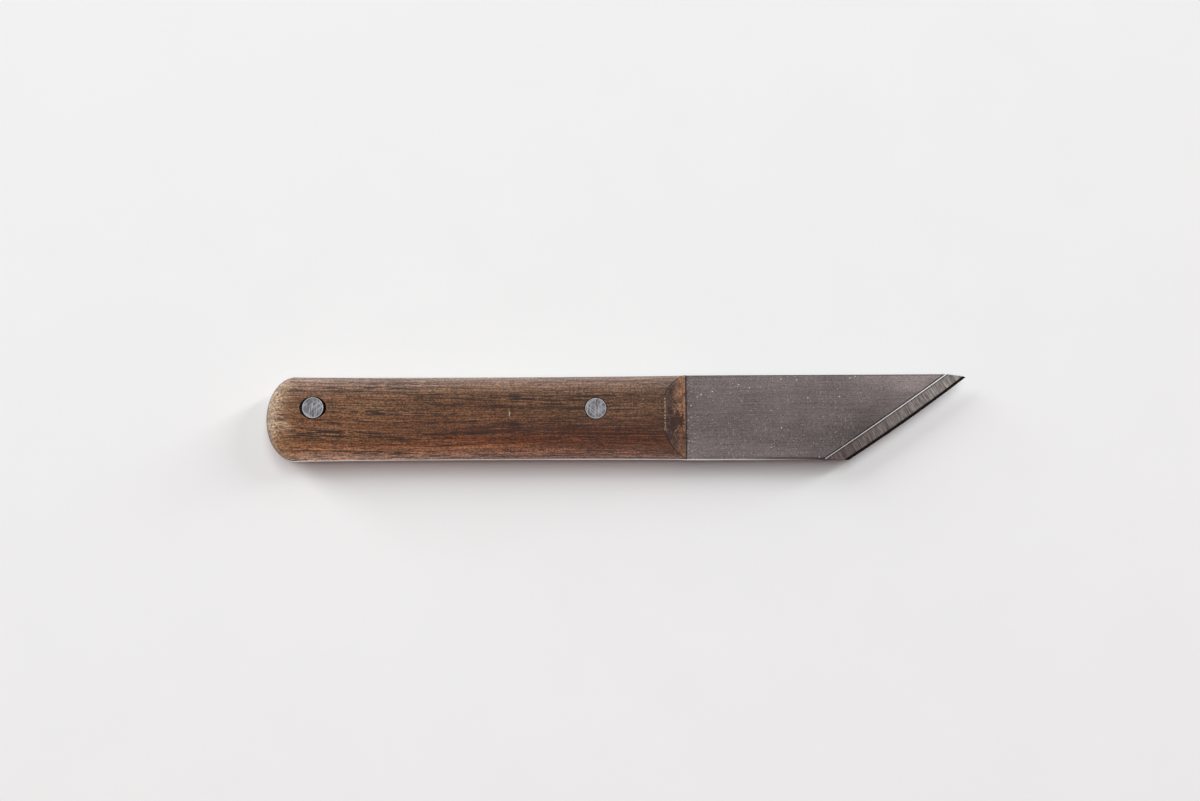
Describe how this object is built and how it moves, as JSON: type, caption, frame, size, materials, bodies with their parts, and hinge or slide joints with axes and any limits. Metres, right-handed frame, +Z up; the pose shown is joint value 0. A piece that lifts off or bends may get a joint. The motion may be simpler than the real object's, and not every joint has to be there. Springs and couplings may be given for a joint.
{
  "type": "technician knife",
  "caption": "Fixed-blade bench knife: a flat steel bar with a single-bevel skew edge, its full tang held between rounded walnut scales by plain metal pins.",
  "frame": {"origin": "under the middle of the knife as it lies on its side, on the surface that it rests on", "axes": "+X from the butt to the tip, +Y from the heel of the edge to the spine, +Z up through the thickness, towards the bevelled face"},
  "size_m": [0.1646, 0.02, 0.0131],
  "materials": {
    "blade_steel": "dull satin grey flats with fine lengthwise scratches, ground bevel and a polished edge",
    "walnut": "oiled walnut with dark pores along the grain, paler end grain at the butt",
    "adhesive": "dark brown cured epoxy",
    "pin_aluminium": "dull, sanded flush with random scratches"
  },
  "bodies": {
    "root": {"blade": "blade_steel", "upper_scale": "walnut", "lower_scale": "walnut", "upper_bond": "adhesive", "lower_bond": "adhesive", "rear_pin": "pin_aluminium", "front_pin": "pin_aluminium"}
  },
  "joints": []
}
